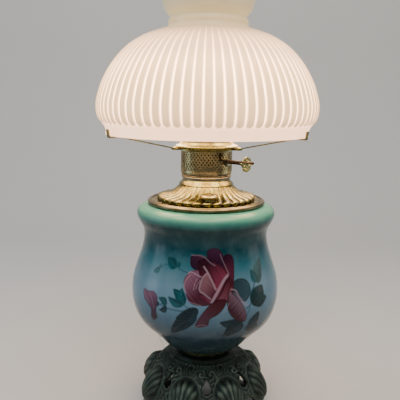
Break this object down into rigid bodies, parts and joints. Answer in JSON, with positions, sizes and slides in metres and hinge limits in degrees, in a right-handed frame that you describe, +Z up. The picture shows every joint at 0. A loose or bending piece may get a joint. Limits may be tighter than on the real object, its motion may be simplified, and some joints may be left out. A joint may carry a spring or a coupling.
{
  "type": "oil lamp",
  "caption": "Vase oil lamp with a central-draught burner, ribbed dome shade, chimney and openwork leaf foot, wired through its draught tube.",
  "frame": {"origin": "centre of the foot's lower rim, on the surface that the lamp stands on", "axes": "+Z up the lamp's axis, front with the filler cap towards -Y, winder knob towards +X"},
  "size_m": [0.2772, 0.4256, 0.62],
  "materials": {
    "foot_metal": "dark green verdigris paint over cast iron",
    "cup_metal": "olive-green aged paint",
    "rubber": "black rubber",
    "vase_glass": "opal glass with fired sea-green to teal paint",
    "brass": "lacquered antique brass",
    "dark_brass": "dull brown antique brass",
    "steel": "zinc-plated steel",
    "shade_glass": "satin opal glass",
    "clear_glass": "clear lamp glass",
    "cotton": "woven cotton",
    "phenolic": "black phenolic",
    "bulb_glass": "frosted glass",
    "white_plastic": "white flexible plastic"
  },
  "bodies": {
    "lamp": {"foot_casting": "foot_metal", "base_cup": "cup_metal", "cup_gasket": "rubber", "vase_rubber_washer": "rubber", "vase": "vase_glass", "tie_pipe": "steel", "pipe_nuts": "steel", "vase_steel_washer": "steel", "plug_pins": "steel", "socket_contact": "steel", "mouth_ring": "brass", "font_crown": "brass", "font_tank": "brass", "draft_tube": "brass", "filler_neck": "brass", "burner_collar": "brass", "outer_wick_tube": "brass", "shaft_bracket": "brass", "shaft_gland": "brass", "socket_adapter": "brass", "bulb_cap": "brass", "bulb_filament": "brass", "burner_basket": "dark_brass", "burner_drum": "dark_brass", "socket_shell": "phenolic", "socket_liner": "phenolic", "bulb_glass": "bulb_glass", "inner_lead": "white_plastic", "cord_bushing": "white_plastic", "cord_relief": "white_plastic", "cord": "white_plastic", "cord_coil": "white_plastic", "cord_tail": "white_plastic", "plug_body": "white_plastic", "plug_relief": "white_plastic"},
    "wick_body": {"wick": "cotton", "wick_carrier": "brass"},
    "winder": {"wick_spindle": "steel", "wick_pinion": "brass", "wick_knob": "brass"},
    "gallery": {"gallery_pan": "brass", "chimney_holder": "brass", "lift_sleeve": "brass", "lift_rod": "brass", "shade_holder_ring": "brass", "shade_arm_right": "brass", "shade_arm_back": "brass", "shade_arm_left": "brass", "arm_rivets": "brass"},
    "chimney_body": {"chimney": "clear_glass"},
    "shade_body": {"shade": "shade_glass"},
    "cap_body": {"filler_cap": "brass"}
  },
  "joints": [
    {"name": "winder_turn", "type": "hinge", "parent": "lamp", "child": "winder", "pos_m": [0.0475, -0.03985, 0.3415], "axis": [0.766, -0.6428, 0], "range_deg": [0, 240]},
    {"name": "wick_rise", "type": "slide", "parent": "lamp", "child": "wick_body", "axis": [0, 0, 1], "range_m": [0, 0.02011]},
    {"name": "gallery_lift", "type": "slide", "parent": "lamp", "child": "gallery", "axis": [0, 0, 1], "range_m": [0, 0.007]},
    {"name": "chimney_lift", "type": "slide", "parent": "gallery", "child": "chimney_body", "axis": [0, 0, 1], "range_m": [0, 0.2]},
    {"name": "shade_lift", "type": "slide", "parent": "gallery", "child": "shade_body", "axis": [0, 0, 1], "range_m": [0, 0.25]},
    {"name": "cap_lift", "type": "slide", "parent": "lamp", "child": "cap_body", "axis": [0, 0, 1], "range_m": [0, 0.025]}
  ],
  "couplings": [
    {"joint": "winder_turn", "follows": "wick_rise", "rad_per_m": 208.33}
  ]
}
